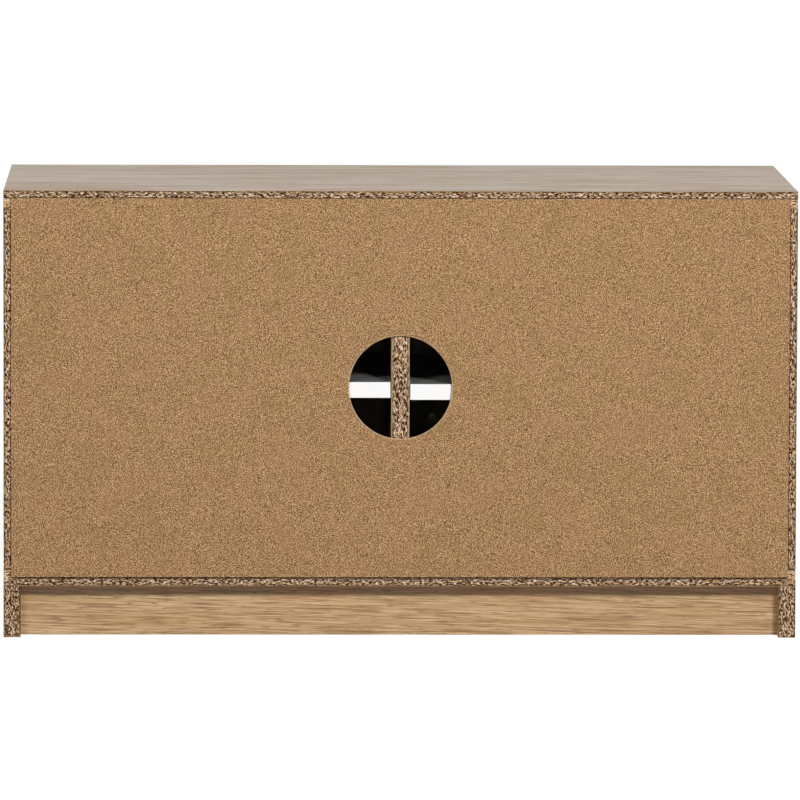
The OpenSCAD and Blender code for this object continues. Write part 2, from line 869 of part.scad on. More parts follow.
module door_board() {
    difference() {
        slab(door_x + band_t, front_y, door_low_z + band_t, door_w - 2 * band_t, door_t, door_h - 2 * band_t);
        at_left_hinges() {
            peg_y(cup_s, door_gap - over, 0, cup_d, cup_hole_depth + over);
            for (w = [-1, 1])
                peg_y(cup_screw_s, door_gap - over, w * cup_screw_gap / 2,
                    screw_d + 2 * hole_clear, screw_len - flange_t + hole_spare + over);
        }
        for (z = handle_zs)
            peg_y(handle_x, front_y - over, z, handle_screw_d + 2 * hole_clear, door_t + 2 * over);
        for (x = strike_screw_xs)
            peg_y(x, door_inner_y - strike_screw_len - hole_spare, strike_z + strike_h / 2,
                screw_d + 2 * hole_clear, strike_screw_len + hole_spare + over);
    }
}

module door_bands() {
    for (x = [door_x, door_x + door_w - band_t])
        slab(x, front_y, door_low_z, band_t, door_t, door_h);
    for (z = [door_low_z, door_low_z + door_h - band_t])
        slab(door_x + band_t, front_y, z, door_w - 2 * band_t, door_t, band_t);
}

// The cup: a drawn bowl with a screw flange and two ears that hold the pin
module hinge_cup() {
    difference() {
        union() {
            difference() {
                union() {
                    peg_y(cup_s, door_gap - flange_t, 0, cup_body_d, cup_depth + flange_t);
                    slab(cup_screw_s - flange_bar / 2, door_gap - flange_t, -cup_screw_gap / 2,
                        flange_bar, flange_t, cup_screw_gap);
                    for (w = [-1, 1])
                        peg_y(cup_screw_s, door_gap - flange_t, w * cup_screw_gap / 2, flange_bar, flange_t);
                }
                peg_y(cup_s, door_gap - flange_t - over, 0,
                    cup_body_d - 2 * cup_wall, cup_floor + flange_t + over);
            }
            for (w = [ear_gap, -ear_gap - ear_t])
                slab(pivot_s - ear_w / 2, pivot_f - ear_w / 2, w,
                    ear_w, door_gap + cup_depth - pivot_f + ear_w / 2, ear_t);
        }
        translate([pivot_s, pivot_f, -hinge_pin_l / 2 - hole_clear])
            cylinder(d = hinge_pin_d + 2 * hole_clear, h = hinge_pin_l + 2 * hole_clear);
        for (w = [-1, 1])
            peg_y(cup_screw_s, door_gap - flange_t - over, w * cup_screw_gap / 2,
                screw_d + 2 * hole_clear, flange_t + 2 * over);
    }
}

module hinge_pin() {
    translate([pivot_s, pivot_f, -hinge_pin_l / 2]) cylinder(d = hinge_pin_d, h = hinge_pin_l);
}

module cup_screw_pair() {
    for (w = [-1, 1])
        translate([cup_screw_s, door_gap - flange_t, w * cup_screw_gap / 2]) rotate([90, 0, 0])
            screw(screw_d, screw_len, head_d, head_h);
}

// A bar handle on two posts, with a threaded bore in each post
module handle() {
    difference() {
        union() {
            peg_z(handle_x, handle_axis_y, handle_zs[0] - handle_end,
                handle_bar_d, handle_gap + 2 * handle_end);
            for (z = handle_zs)
                peg_y(handle_x, handle_axis_y, z, handle_post_d, front_y - handle_axis_y);
        }
        for (z = handle_zs)
            peg_y(handle_x, front_y - handle_thread - hole_spare, z,
                handle_screw_d + 2 * hole_clear, handle_thread + hole_spare + over);
    }
}

module handle_screw_pair() {
    for (z = handle_zs)
        translate([handle_x, door_inner_y, z]) rotate([-90, 0, 0])
            screw(handle_screw_d, door_t + handle_thread, handle_head_d, handle_head_h);
}

module bumper_pair() {
    for (z = [door_low_z + bumper_inset, door_low_z + door_h - bumper_inset])
        peg_y(bumper_x, door_inner_y, z, bumper_d, door_gap - stop_clear);
}

module strike() {
    difference() {
        slab(-catch_x - strike_w / 2, door_inner_y, strike_z, strike_w, strike_t, strike_h);
        for (x = strike_screw_xs)
            peg_y(x, door_inner_y - over, strike_z + strike_h / 2,
                strike_head_d + 2 * hole_clear, strike_t + 2 * over);
    }
}

module strike_screw_pair() {
    for (x = strike_screw_xs)
        translate([x, door_inner_y, strike_z + strike_h / 2]) rotate([-90, 0, 0])
            screw(screw_d, strike_screw_len, strike_head_d, strike_t);
}

module door_left() {
    color(white) door_board();
}

module door_right() {
    color(white) right_hand() door_board();
}

module door_left_bands() {
    color(white) door_bands();
}

module door_right_bands() {
    color(white) right_hand() door_bands();
}

module hinge_cups_left() {
    color(steel) at_left_hinges() hinge_cup();
}

module hinge_cups_right() {
    color(steel) right_hand() at_left_hinges() hinge_cup();
}

module hinge_pins_left() {
    color(zinc) at_left_hinges() hinge_pin();
}

module hinge_pins_right() {
    color(zinc) right_hand() at_left_hinges() hinge_pin();
}

module cup_screws_left() {
    color(steel) at_left_hinges() cup_screw_pair();
}

module cup_screws_right() {
    color(steel) right_hand() at_left_hinges() cup_screw_pair();
}

module handle_left() {
    color(steel) handle();
}

module handle_right() {
    color(steel) right_hand() handle();
}

module handle_screws_left() {
    color(steel) handle_screw_pair();
}

module handle_screws_right() {
    color(steel) right_hand() handle_screw_pair();
}

module bumpers_left() {
    color(rubber) bumper_pair();
}

module bumpers_right() {
    color(rubber) right_hand() bumper_pair();
}

module strike_left() {
    color(steel) strike();
}

module strike_right() {
    color(steel) right_hand() strike();
}

module strike_screws_left() {
    color(steel) strike_screw_pair();
}

module strike_screws_right() {
    color(steel) right_hand() strike_screw_pair();
}

top_panel();
bottom_panel();
side_left();
side_right();
divider();
back_panel();
top_edge_bands();
bottom_edge_bands();
carcass_front_bands();
plinth_left();
plinth_right();
plinth_front();
plinth_rear();
plinth_blocks();
plinth_block_screws();
plinth_dowels();
shelf_left();
shelf_right();
shelf_left_bands();
shelf_right_bands();
shelf_pins();
carcass_dowels();
cam_bolts();
cam_locks();
hinge_plates();
hinge_plate_screws();
hinge_arms();
hinge_arm_screws();
catch_housings();
catch_magnets();
catch_screws();
door_left();
door_left_bands();
hinge_cups_left();
hinge_pins_left();
cup_screws_left();
handle_left();
handle_screws_left();
bumpers_left();
strike_left();
strike_screws_left();
door_right();
door_right_bands();
hinge_cups_right();
hinge_pins_right();
cup_screws_right();
handle_right();
handle_screws_right();
bumpers_right();
strike_right();
strike_screws_right();
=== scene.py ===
import math

import bpy
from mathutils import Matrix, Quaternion, Vector


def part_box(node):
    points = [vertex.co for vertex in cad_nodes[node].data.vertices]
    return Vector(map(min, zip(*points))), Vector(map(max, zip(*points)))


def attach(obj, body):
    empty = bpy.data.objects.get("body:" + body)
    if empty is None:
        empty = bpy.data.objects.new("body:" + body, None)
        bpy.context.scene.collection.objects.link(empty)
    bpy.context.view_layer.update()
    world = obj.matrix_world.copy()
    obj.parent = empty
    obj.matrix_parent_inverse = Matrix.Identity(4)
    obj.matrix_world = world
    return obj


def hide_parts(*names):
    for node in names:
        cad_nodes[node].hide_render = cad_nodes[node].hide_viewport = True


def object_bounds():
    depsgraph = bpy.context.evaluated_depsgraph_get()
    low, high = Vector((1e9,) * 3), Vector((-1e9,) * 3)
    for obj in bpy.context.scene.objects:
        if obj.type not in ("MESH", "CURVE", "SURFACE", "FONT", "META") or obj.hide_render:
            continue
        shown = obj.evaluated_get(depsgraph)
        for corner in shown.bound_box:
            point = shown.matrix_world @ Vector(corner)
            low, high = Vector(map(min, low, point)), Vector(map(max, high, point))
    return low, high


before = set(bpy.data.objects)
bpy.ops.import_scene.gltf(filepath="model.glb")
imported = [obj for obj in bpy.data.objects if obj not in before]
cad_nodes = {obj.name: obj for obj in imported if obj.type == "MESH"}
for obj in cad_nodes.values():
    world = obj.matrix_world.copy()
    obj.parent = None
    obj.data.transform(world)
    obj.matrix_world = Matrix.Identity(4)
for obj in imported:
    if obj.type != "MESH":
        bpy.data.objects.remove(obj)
cad_low, cad_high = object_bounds()

# ---- Plinth boards ---------------------------------------------------------------------
# Four boards of chipboard under light oak foil. The two side boards run the whole depth
# and show their sawn rear ends; the front and rear boards are set back between them.
# They are glued up with dowels and corner blocks.
MM = 0.001
X, Y, Z = 0, 1, 2
NEAR = 0.01 * MM
# A face is square on to an axis when this much of its normal lies along it.
SQUARE_ON = 0.99
# The subdivide tool makes no more cuts than this at a time.
MOST_CUTS = 100


def pick_only(piece):
    """Selects one piece and makes it the one that the tools work on."""
    bpy.ops.object.select_all(action="DESELECT")
    piece.select_set(True)
    bpy.context.view_layer.objects.active = piece


def pick_parts(piece, mode, wanted):
    """Selects the faces or edges of a piece that a test asks for, and leaves it in edit mode."""
    pick_only(piece)
    bpy.ops.object.mode_set(mode="EDIT")
    bpy.ops.mesh.select_mode(type=mode)
    bpy.ops.mesh.select_all(action="DESELECT")
    bpy.ops.object.mode_set(mode="OBJECT")
    points = piece.data.vertices
    if mode == "FACE":
        for face in piece.data.polygons:
            face.select = wanted(face)
    else:
        for edge in piece.data.edges:
            edge.select = wanted(*(points[v].co for v in edge.vertices))
    bpy.ops.object.mode_set(mode="EDIT")


def joined_copy(node, piece):
    """A copy of a CAD node with its loose triangles joined into whole faces."""
    copy = bpy.data.objects.new(piece, cad_nodes[node].data.copy())
    bpy.context.scene.collection.objects.link(copy)
    copy.data.materials.clear()
    pick_only(copy)
    bpy.ops.object.mode_set(mode="EDIT")
    bpy.ops.mesh.select_mode(type="VERT")
    bpy.ops.mesh.select_all(action="SELECT")
    bpy.ops.mesh.remove_doubles(threshold=MM / 1000)
    bpy.ops.mesh.dissolve_limited(angle_limit=math.radians(0.2))
    bpy.ops.mesh.customdata_custom_splitnormals_clear()
    bpy.ops.object.mode_set(mode="OBJECT")
    return copy


def round_arrises(piece, width, steps=2, sharp=30):
    """Rounds every sharp edge of a piece, and keeps the flats beside the roundings flat."""
    pick_only(piece)
    bpy.ops.object.shade_smooth_by_angle(angle=math.radians(sharp))
    arris = piece.modifiers.new("arris", "BEVEL")
    arris.width = width
    arris.segments = steps
    arris.limit_method = "ANGLE"
    arris.angle_limit = math.radians(sharp)
    arris.harden_normals = True
    bpy.ops.object.modifier_apply(modifier="arris")
    bpy.ops.object.mode_set(mode="EDIT")
    bpy.ops.mesh.select_all(action="SELECT")
    bpy.ops.mesh.vert_connect_concave()
    bpy.ops.object.mode_set(mode="OBJECT")


def cut_edges(board, rear, run, shares):
    """Cuts the edges of a board's rear end that lie along one axis into equal shares."""
    across = Z if run == X else X
    while shares > 1:
        cuts = min(shares, MOST_CUTS)
        pick_parts(board, "EDGE", lambda a, b: min(a.y, b.y) > rear - NEAR
                   and abs(a[run] - b[run]) > NEAR > abs(a[across] - b[across]))
        bpy.ops.mesh.subdivide(number_cuts=cuts - 1)
        bpy.ops.object.mode_set(mode="OBJECT")
        shares = math.ceil(shares / cuts)


chip_grain = bpy.data.textures.new("chip_grain", "VORONOI")
chip_grain.weight_1 = -1
chip_grain.weight_2 = 1
chip_grain.noise_scale = 1
chip_pits = bpy.data.textures.new("chip_pits", "CLOUDS")
chip_pits.noise_scale = 1
chip_pits.noise_depth = 1
chip_pits.contrast = 2.6
chip_pits.intensity = 0.9
CHIP_LENGTH = 2.8 * MM
CHIP_WIDTH = 1.1 * MM
CHIP_RELIEF = 0.32 * MM
PIT_DEPTH = 0.45 * MM


def saw_rear_end(board, run, fine=0.5 * MM, coarse=1 * MM):
    """Gives a board's rear end the torn chips and pits that a saw leaves in chipboard."""
    rear = max(v.co.y for v in board.data.vertices)
    pick_parts(board, "FACE", lambda f: f.normal.y > SQUARE_ON and f.center.y > rear - NEAR)
    bpy.ops.mesh.dissolve_faces()
    bpy.ops.object.mode_set(mode="OBJECT")
    end = [v.co for v in board.data.vertices if v.co.y > rear - NEAR]
    for axis, step in ((run, coarse), (Z if run == X else X, fine)):
        reach = max(p[axis] for p in end) - min(p[axis] for p in end)
        cut_edges(board, rear, axis, round(reach / step))
    torn = board.vertex_groups.new(name="torn")
    torn.add([v.index for v in board.data.vertices if v.co.y > rear - NEAR], 1, "REPLACE")
    lie = bpy.data.objects.new("lie_of_the_chips", None)
    bpy.context.scene.collection.objects.link(lie)
    for texture, size, depth in ((chip_grain, 1, CHIP_RELIEF), (chip_pits, 1.15, PIT_DEPTH)):
        lie.scale = [CHIP_WIDTH * size] * 3
        lie.scale[run] = CHIP_LENGTH * size
        bpy.context.view_layer.update()
        tear = board.modifiers.new("tear", "DISPLACE")
        tear.texture = texture
        tear.texture_coords = "OBJECT"
        tear.texture_coords_object = lie
        tear.direction = "Y"
        tear.vertex_group = "torn"
        tear.mid_level = 1
        tear.strength = depth
        pick_only(board)
        bpy.ops.object.modifier_apply(modifier="tear")
    bpy.data.objects.remove(lie)
    # How deep each point of the torn end lies; the chipboard's colour uses it for painted shade
    # in the deepest pits.
    torn_depth = board.data.attributes.new("torn_depth", "FLOAT", "POINT")
    for vertex, mark in zip(board.data.vertices, torn_depth.data):
        lost = rear - vertex.co.y
        mark.value = min(lost / (CHIP_RELIEF + PIT_DEPTH), 1) if lost < MM else 0
    board.vertex_groups.clear()
    bpy.ops.object.shade_flat()


def srgb(code):
    """The linear colour of an sRGB hex value."""
    parts = [int(code[i:i + 2], 16) / 255 for i in (1, 3, 5)]
    return [p / 12.92 if p <= 0.04045 else ((p + 0.055) / 1.055) ** 2.4 for p in parts] + [1]


def add(tree, kind, settings=None, inputs=None):
    """Adds a node with its settings, its fixed inputs and its links from other nodes."""
    node = tree.nodes.new("ShaderNode" + kind)
    for name, value in (settings or {}).items():
        if name == "stops":
            ramp = node.color_ramp.elements
            while len(ramp) < len(value):
                ramp.new(1)
            for stop, (place, colour) in zip(ramp, value):
                stop.position = place
                stop.color = srgb(colour)
        else:
            setattr(node, name, value)
    for name, value in (inputs or {}).items():
        if isinstance(value, bpy.types.Node):
            value = value.outputs[0]
        if isinstance(value, bpy.types.NodeSocket):
            tree.links.new(value, node.inputs[name])
        else:
            node.inputs[name].default_value = value
    return node


def new_finish(name):
    """An empty material and its node tree."""
    finish = bpy.data.materials.new(name)
    finish.use_nodes = True
    finish.node_tree.nodes.clear()
    return finish, finish.node_tree


def finish_with(tree, inputs):
    """Ends a node tree in a Principled shader."""
    shader = add(tree, "BsdfPrincipled", inputs=inputs)
    add(tree, "OutputMaterial", inputs={"Surface": shader})


def object_place(tree):
    """The place on the object, in metres."""
    return add(tree, "TexCoord").outputs["Object"]


def drawn_out(tree, place, axis, along, across):
    """Scales a place for a pattern that is so many millimetres long and wide."""
    scale = [1000 / across] * 3
    scale[axis] = 1000 / along
    return add(tree, "Mapping", inputs={"Vector": place, "Scale": scale})


def noise(tree, place, size_mm=1000, detail=2, **more):
    """Cloudy noise from 0 to 1. A place that is already scaled needs no size."""
    return add(tree, "TexNoise", inputs={
        "Vector": place, "Scale": 1000 / size_mm, "Detail": detail, **more})


def remap(tree, value, span, result, how="LINEAR"):
    """Maps one span of values to another, and holds it at both ends."""
    return add(tree, "MapRange", {"interpolation_type": how}, {
        "Value": value, "From Min": span[0], "From Max": span[1],
        "To Min": result[0], "To Max": result[1]})


def tinted(tree, value, *stops):
    """Turns a value into a colour, by stops that each hold a value and an sRGB colour."""
    return add(tree, "ValToRGB", {"stops": stops}, {"Fac": value})


def calculate(tree, how, *values):
    """One step of arithmetic."""
    return add(tree, "Math", {"operation": how}, dict(enumerate(values)))


def blend(tree, share, first, second, how="MIX"):
    """Lays a second colour over the first one by a share from 0 to 1."""
    return add(tree, "MixRGB", {"blend_type": how}, {
        "Fac": share, "Color1": first, "Color2": second})


def embossed(tree, height, strength, depth):
    """A fine relief of the surface, from the height of a pattern."""
    return add(tree, "Bump", inputs={"Height": height, "Strength": strength, "Distance": depth})


def oak_foil(name, grain):
    """Light oak printed on matt paper foil: fine slanting grain lines with a few thin dark
    veins, broad reddish and yellowish streaks, short embossed pores, and a sheen that
    changes in bands."""
    finish, tree = new_finish(name)
    slant = add(tree, "Mapping", inputs={
        "Vector": object_place(tree), "Rotation": [0.02, 0.026, 0.017]})
    sway = noise(tree, drawn_out(tree, object_place(tree), grain, 220, 60))
    sway = calculate(tree, "MULTIPLY_ADD", sway, 6 * MM, -3 * MM)
    bent = add(tree, "VectorMath", {"operation": "ADD"}, {0: slant, 1: sway})
    lines = noise(tree, drawn_out(tree, bent, grain, 110, 1.3))
    colour = tinted(tree, lines,
                    (0.3, "#7f6141"), (0.42, "#b18f67"), (0.52, "#c5a37a"), (0.68, "#d8b68f"))
    veins = noise(tree, drawn_out(tree, bent, grain, 260, 5), detail=1)
    veins = calculate(tree, "PINGPONG", veins, 0.055)
    veins = remap(tree, veins, (0.015, 0.002), (0, 0.7))
    colour = blend(tree, veins, colour, srgb("#80603f"))
    streaks = noise(tree, drawn_out(tree, bent, grain, 260, 9), detail=1)
    reddish = remap(tree, streaks, (0.52, 0.68), (0, 0.3))
    colour = blend(tree, reddish, colour, srgb("#b58b6c"))
    yellowish = remap(tree, streaks, (0.44, 0.3), (0, 0.35))
    colour = blend(tree, yellowish, colour, srgb("#b99a66"))
    pores = noise(tree, drawn_out(tree, bent, grain, 16, 1.1), detail=1)
    pores = remap(tree, pores, (0.56, 0.68), (0, 0.45))
    colour = blend(tree, pores, colour, srgb("#6f5035"))
    relief = embossed(tree, calculate(tree, "MULTIPLY", pores, -1), 0.5, 0.03 * MM)
    sheen = noise(tree, drawn_out(tree, bent, grain, 130, 24))
    dull = remap(tree, sheen, (0.35, 0.65), (0.46, 0.31))
    finish_with(tree, {"Base Color": colour, "Roughness": dull, "IOR": 1.5, "Normal": relief})
    return finish


def off_middle(tree, place, across, middle):
    """How far a place lies from the middle of a board's thickness."""
    depth = add(tree, "SeparateXYZ", inputs={"Vector": place}).outputs[across]
    return calculate(tree, "ABSOLUTE", calculate(tree, "SUBTRACT", depth, middle))


def flakes(tree, place):
    """Angular flakes, each with a value of its own from 0 to 1."""
    cells = add(tree, "TexVoronoi", {"feature": "F1"}, {"Vector": place, "Scale": 1})
    return add(tree, "SeparateColor", inputs={"Color": cells.outputs["Color"]})


def raw_chipboard(name, run, across, middle, board, skin):
    """Sawn chipboard: cream to brown flakes that lie along the board, dark pits between
    them in the coarse core, denser and finer layers along both faces of the board, and
    the cut edge of the foil as a thin line. Painted shade darkens the deepest torn pits
    and the narrow recesses."""
    finish, tree = new_finish(name)
    place = object_place(tree)
    jag = noise(tree, place, size_mm=3)
    jag = add(tree, "VectorMath", {"operation": "MULTIPLY_ADD"}, {
        0: jag.outputs["Color"], 1: [2 * MM] * 3, 2: [-1 * MM] * 3})
    torn = add(tree, "VectorMath", {"operation": "ADD"}, {0: place, 1: jag})

    flake_place = drawn_out(tree, torn, run, 2.4, 0.7)
    coarse = flakes(tree, flake_place)
    core = tinted(tree, coarse,
                  (0.0, "#2e1404"), (0.1, "#6a3c18"), (0.22, "#b4834f"), (0.4, "#e0b688"),
                  (0.58, "#f6d0a7"), (0.74, "#ffdfbb"), (0.88, "#ffe9cd"), (1.0, "#fff3e2"))
    faces = tinted(tree, flakes(tree, drawn_out(tree, torn, run, 1.9, 0.7)),
                   (0.0, "#583a1c"), (0.3, "#97744a"), (0.7, "#b99970"), (1.0, "#ecd2ac"))
    layer = remap(tree, off_middle(tree, torn, across, middle),
                  (board / 2 - 2.6 * MM, board / 2 - 1.4 * MM), (0, 0.85), "SMOOTHSTEP")
    colour = blend(tree, layer, core, faces)

    seam = add(tree, "TexVoronoi", {"feature": "DISTANCE_TO_EDGE"}, {
        "Vector": flake_place, "Scale": 1})
    seam = remap(tree, seam, (0.01, 0.09), (0.4, 0))
    pits = noise(tree, drawn_out(tree, torn, run, 2.6, 0.8), detail=1)
    pits = remap(tree, pits, (0.58, 0.62), (0, 1))
    dark = calculate(tree, "MAXIMUM", seam, pits)
    less = calculate(tree, "MULTIPLY_ADD", layer, -0.6, 1)
    dark = calculate(tree, "MULTIPLY", dark, less)
    # Painted shade: the deepest points of the torn end are painted dark.
    deep = add(tree, "Attribute", {"attribute_name": "torn_depth"}).outputs["Fac"]
    deep = remap(tree, deep, (0.58, 0.9), (0, 0.95))
    dark = calculate(tree, "MAXIMUM", dark, deep)
    # Painted shade: ambient occlusion paints narrow recesses dark, such as the gap under the
    # back.
    open_sky = add(tree, "AmbientOcclusion", {"samples": 8}, {"Distance": 4 * MM}).outputs["AO"]
    recess_shade = remap(tree, open_sky, (0.32, 0.5), (1, 0))
    dark = calculate(tree, "MAXIMUM", dark, recess_shade)
    colour = blend(tree, dark, colour, srgb("#341402"))

    rim = remap(tree, off_middle(tree, place, across, middle),
                (board / 2 - 0.8 * MM, board / 2 - 0.5 * MM), (0, 0.8))
    colour = blend(tree, rim, colour, srgb(skin))
    relief = embossed(tree, calculate(tree, "SUBTRACT", coarse, dark), 0.6, 0.2 * MM)
    finish_with(tree, {"Base Color": colour, "Roughness": 0.9, "Specular IOR Level": 0.03,
                       "Normal": relief})
    return finish


oak_foil_x = oak_foil("oak_foil_grain_across", X)
oak_foil_y = oak_foil("oak_foil_grain_deep", Y)
oak_foil_z = oak_foil("oak_foil_grain_upright", Z)
FOIL_EDGE = "#5f4630"


def foil_board(node, piece, flat, foil, run, skin=FOIL_EDGE):
    """A foiled board: foil on its two wide faces, raw chipboard on every sawn face."""
    board = joined_copy(node, piece)
    low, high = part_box(node)
    board.data.materials.append(foil)
    board.data.materials.append(raw_chipboard(
        piece + "_sawn", run, flat, (low[flat] + high[flat]) / 2, high[flat] - low[flat], skin))
    for face in board.data.polygons:
        wide = abs(face.normal[flat]) > SQUARE_ON and (
            min(face.center[flat] - low[flat], high[flat] - face.center[flat]) < NEAR)
        face.material_index = 0 if wide else 1
    return board


for side in ("left", "right"):
    plinth_side = foil_board(f"plinth_{side}", f"plinth_{side}_board", X, oak_foil_y, Z)
    saw_rear_end(plinth_side, Z, fine=0.5 * MM, coarse=0.7 * MM)
    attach(plinth_side, "cabinet")
    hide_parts(f"plinth_{side}")
for end in ("front", "rear"):
    plinth_long = foil_board(f"plinth_{end}", f"plinth_{end}_board", Y, oak_foil_x, X)
    round_arrises(plinth_long, 0.6 * MM)
    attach(plinth_long, "cabinet")
    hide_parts(f"plinth_{end}")

# ---- Bottom, sides, divider and top ----------------------------------------------------
# 18 mm chipboard under oak foil. All but the divider have a rebate for the back along the
# rear, which leaves a raw lip 7 mm wide. Dowels and cams hold them together.
EASED = 0.4 * MM
PALE_FOIL_EDGE = "#cdbb9f"


def ease_outer_arris(board, axis, outer):
    """Eases the arris between a board's rear end and its outer face; the foil wraps over it."""
    rear = max(v.co.y for v in board.data.vertices)
    pick_parts(board, "EDGE", lambda a, b: min(a.y, b.y) > rear - NEAR
               and max(abs(a[axis] - outer), abs(b[axis] - outer)) < NEAR)
    bpy.ops.mesh.bevel(offset=EASED, segments=3, profile=0.5, material=0)
    bpy.ops.object.mode_set(mode="OBJECT")


for node, flat, foil, run, outward, skin, shown in (
        ("bottom_panel", Z, oak_foil_x, X, 0, FOIL_EDGE, "bottom_board"),
        ("side_left", X, oak_foil_z, Z, 0, FOIL_EDGE, "side_board_left"),
        ("side_right", X, oak_foil_z, Z, 1, FOIL_EDGE, "side_board_right"),
        ("divider", X, oak_foil_z, Z, None, PALE_FOIL_EDGE, "divider_board"),
        ("top_panel", Z, oak_foil_x, X, 1, FOIL_EDGE, "top_board")):
    board = foil_board(node, shown, flat, foil, run, skin)
    if outward is not None:
        ease_outer_arris(board, flat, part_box(node)[outward][flat])
    saw_rear_end(board, run)
    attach(board, "cabinet")
    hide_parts(node)

# ---- Edge bands ------------------------------------------------------------------------
# Strips of 0.8 mm plastic with the same oak print, ironed on the front and end edges of the
# boards. Their arrises are scraped round, which lays bare the plain brown plastic.


def moulded_plastic(name, colour):
    """Plain coloured plastic: a faint grain from the mould and a soft shine."""
    finish, tree = new_finish(name)
    grain = noise(tree, object_place(tree), size_mm=0.8)
    shade = remap(tree, grain, (0.3, 0.7), (0.94, 1))
    tone = blend(tree, 1, srgb(colour), shade, "MULTIPLY")
    relief = embossed(tree, grain, 0.3, 0.05 * MM)
    finish_with(tree, {"Base Color": tone, "Roughness": 0.45, "IOR": 1.53, "Normal": relief})
    return finish


scraped_band = moulded_plastic("scraped_band", "#6f5439")
for node, foil, foil_at_ends, shown in (
        ("bottom_edge_bands", oak_foil_x, oak_foil_y, "bottom_bands"),
        ("carcass_front_bands", oak_foil_z, oak_foil_z, "upright_bands"),
        ("top_edge_bands", oak_foil_x, oak_foil_y, "top_bands")):
    bands = joined_copy(node, shown)
    bands.data.materials.append(foil)
    bands.data.materials.append(scraped_band)
    bands.data.materials.append(foil_at_ends)
    for face in bands.data.polygons:
        face.material_index = 2 if abs(face.normal.x) > SQUARE_ON else 0
    low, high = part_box(node)
    pick_parts(bands, "EDGE", lambda a, b: max(a.y, b.y) < low.y + NEAR
               or min(abs(a.x), abs(b.x)) > high.x - NEAR)
    bpy.ops.mesh.bevel(offset=0.3 * MM, segments=3, profile=0.5, material=1)
    bpy.ops.object.mode_set(mode="OBJECT")
    bpy.ops.object.shade_flat()
    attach(bands, "cabinet")
    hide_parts(node)

# ---- Back ------------------------------------------------------------------------------
# One sheet of 3 mm brown fibreboard, glued in the rebate, with a round outlet for cables
# cut by a hole saw. The cut leaves a pale, slightly furred rim.
RIM = 0.9 * MM
OUTLET_REACH = 100 * MM


def brown_fibreboard(name, dark, middle, light):
    """Raw hot-pressed wood fibre: a tan felt of crinkled fibre bundles, warm and olive
    patches some centimetres wide, a few dark bark specks, and a skin like orange peel."""
    finish, tree = new_finish(name)
    place = object_place(tree)
    felt = noise(tree, place, size_mm=1.05, detail=1, Distortion=0.6)
    colour = tinted(tree, felt, (0.36, dark), (0.5, middle), (0.64, light))
    cloud = noise(tree, place, size_mm=32, detail=3)
    warm = remap(tree, cloud, (0.5, 0.68), (0, 0.28))
    colour = blend(tree, warm, colour, srgb("#a9795a"))
    olive = remap(tree, cloud, (0.5, 0.32), (0, 0.25))
    colour = blend(tree, olive, colour, srgb("#8d7346"))
    bark = add(tree, "TexVoronoi", {"feature": "F1"}, {"Vector": place, "Scale": 1000 / 7})
    near = remap(tree, bark.outputs["Distance"], (0.1, 0.2), (0.8, 0))
    chance = add(tree, "SeparateColor", inputs={"Color": bark.outputs["Color"]})
    chance = calculate(tree, "GREATER_THAN", chance, 0.95)
    speck = calculate(tree, "MULTIPLY", near, chance)
    colour = blend(tree, speck, colour, srgb("#4a2c10"))
    relief = embossed(tree, felt, 0.5, 0.3 * MM)
    finish_with(tree, {"Base Color": colour, "Roughness": 0.7, "IOR": 1.5, "Normal": relief})
    return finish


back = joined_copy("back_panel", "back_sheet")
rim_points = [v.co.xz for v in back.data.vertices if abs(v.co.x) < OUTLET_REACH]
outlet_radius = max(p.x for p in rim_points)
outlet_middle = Vector((0, (min(p.y for p in rim_points) + max(p.y for p in rim_points)) / 2))


def on_outlet_rim(*points):
    """Whether all points lie on the outlet's edge in one of the sheet's faces."""
    return all(abs((p.xz - outlet_middle).length - outlet_radius) < 0.2 * MM for p in points)


pick_parts(back, "EDGE", lambda a, b: on_outlet_rim(a, b) and abs(a.y - b.y) < NEAR)
bpy.ops.mesh.bevel(offset=RIM, segments=3, profile=0.5)
bpy.ops.object.mode_set(mode="OBJECT")
back.data.materials.append(brown_fibreboard("brown_fibreboard", "#4b2f12", "#98754e", "#dfb586"))
back.data.materials.append(brown_fibreboard("cut_fibreboard", "#a98c6b", "#c9ab87", "#e0c8a8"))
for face in back.data.polygons:
    from_middle = (face.center.xz - outlet_middle).length
    if from_middle < outlet_radius + 1.05 * RIM and abs(face.normal.y) < SQUARE_ON:
        face.material_index = 1
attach(back, "cabinet")
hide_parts("back_panel")

# ---- Corner blocks and dowels ----------------------------------------------------------
# Beech: four square blocks screwed into the corners of the plinth, and fluted dowels
# glued half in one board and half in the next.


def planed_beech(name, grain):
    """Steamed beech: an even pinkish tan with short darker ray flecks along the grain."""
    finish, tree = new_finish(name)
    place = object_place(tree)
    bands = noise(tree, drawn_out(tree, place, grain, 60, 4), detail=3)
    colour = tinted(tree, bands, (0.3, "#b98d63"), (0.55, "#caa078"), (0.8, "#d6b189"))
    flecks = noise(tree, drawn_out(tree, place, grain, 2.5, 0.5), detail=0)
    flecks = remap(tree, flecks, (0.62, 0.7), (0, 0.6))
    colour = blend(tree, flecks, colour, srgb("#8d6040"))
    relief = embossed(tree, bands, 0.3, 0.1 * MM)
    finish_with(tree, {"Base Color": colour, "Roughness": 0.6, "IOR": 1.5, "Normal": relief})
    return finish


upright_beech = planed_beech("beech_upright", Z)
for node, shown, width in (
        ("plinth_blocks", "corner_blocks", 0.8 * MM),
        ("plinth_dowels", "plinth_dowel_pins", 0.3 * MM),
        ("carcass_dowels", "carcass_dowel_pins", 0.3 * MM)):
    wood = joined_copy(node, shown)
    round_arrises(wood, width)
    wood.data.materials.append(upright_beech)
    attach(wood, "cabinet")
    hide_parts(node)

# ---- Screws, cams and their bolts ------------------------------------------------------
# Bought fittings of the carcass: cast zinc cams, turned steel bolts and pan-head screws
# with a cross recess, all bright zinc plated.


